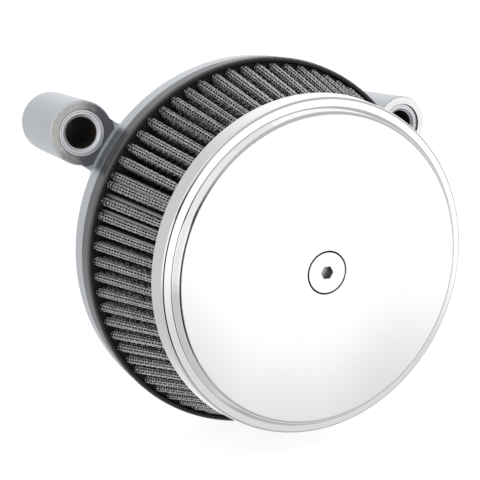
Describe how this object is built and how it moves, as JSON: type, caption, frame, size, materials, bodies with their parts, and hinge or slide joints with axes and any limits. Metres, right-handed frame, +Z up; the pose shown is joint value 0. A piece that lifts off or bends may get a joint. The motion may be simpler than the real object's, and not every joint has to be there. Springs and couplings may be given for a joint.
{
  "type": "motorcycle air filter",
  "caption": "Round motorcycle air filter: cast backing plate with twin breather bosses, tapered pleated element and a stepped chrome cover held by a central countersunk screw.",
  "frame": {"origin": "centre of the throat at the throttle body mounting face", "axes": "+Y along the filter's axis towards the throttle body, so the chrome cover faces -Y; +Z up, with the two breather bosses in the upper half; +X to the right seen from the cover's side"},
  "size_m": [0.2244, 0.1367, 0.199],
  "materials": {
    "cast_aluminium": "fine cast, satin",
    "chrome": "mirror chrome",
    "polished_screw": "polished steel",
    "zinc_steel": "zinc plated",
    "screen_wire": "epoxy coated wire",
    "black_gauze": "black gauze",
    "black_urethane": "moulded urethane",
    "seal_rubber": "smooth rubber"
  },
  "bodies": {
    "plate": {"backing_plate": "cast_aluminium", "throttle_body_seal": "seal_rubber", "throttle_body_screws": "zinc_steel", "throttle_body_washers": "zinc_steel", "boss_seal_left": "seal_rubber", "boss_seal_right": "seal_rubber", "bracket_standoffs": "zinc_steel", "standoff_lock_washers": "zinc_steel", "cover_bracket": "zinc_steel", "bracket_screws": "zinc_steel", "bracket_screw_washers": "zinc_steel", "cover_nut": "zinc_steel"},
    "element": {"base_cap": "black_urethane", "pleated_gauze": "black_gauze", "outer_wire_screen": "screen_wire", "inner_wire_screen": "screen_wire", "top_cap": "black_urethane"},
    "cover": {"cover": "chrome"},
    "screw_washer": {"screw_seal_washer": "seal_rubber"},
    "screw": {"cover_screw": "polished_screw"}
  },
  "joints": [
    {"name": "element_lift", "type": "slide", "parent": "plate", "child": "element", "axis": [0, -1, 0], "range_m": [0, 0.09]},
    {"name": "cover_lift", "type": "slide", "parent": "element", "child": "cover", "axis": [0, -1, 0], "range_m": [0, 0.04]},
    {"name": "screw_travel", "type": "slide", "parent": "cover", "child": "screw_washer", "axis": [0, -1, 0], "range_m": [0, 0.0125]},
    {"name": "screw_turn", "type": "hinge", "parent": "screw_washer", "child": "screw", "pos_m": [0, -0.08, 0], "axis": [0, -1, 0], "range_deg": [0, 2880]}
  ],
  "couplings": [
    {"joint": "screw_travel", "follows": "screw_turn", "m_per_rad": 0.00023873}
  ]
}
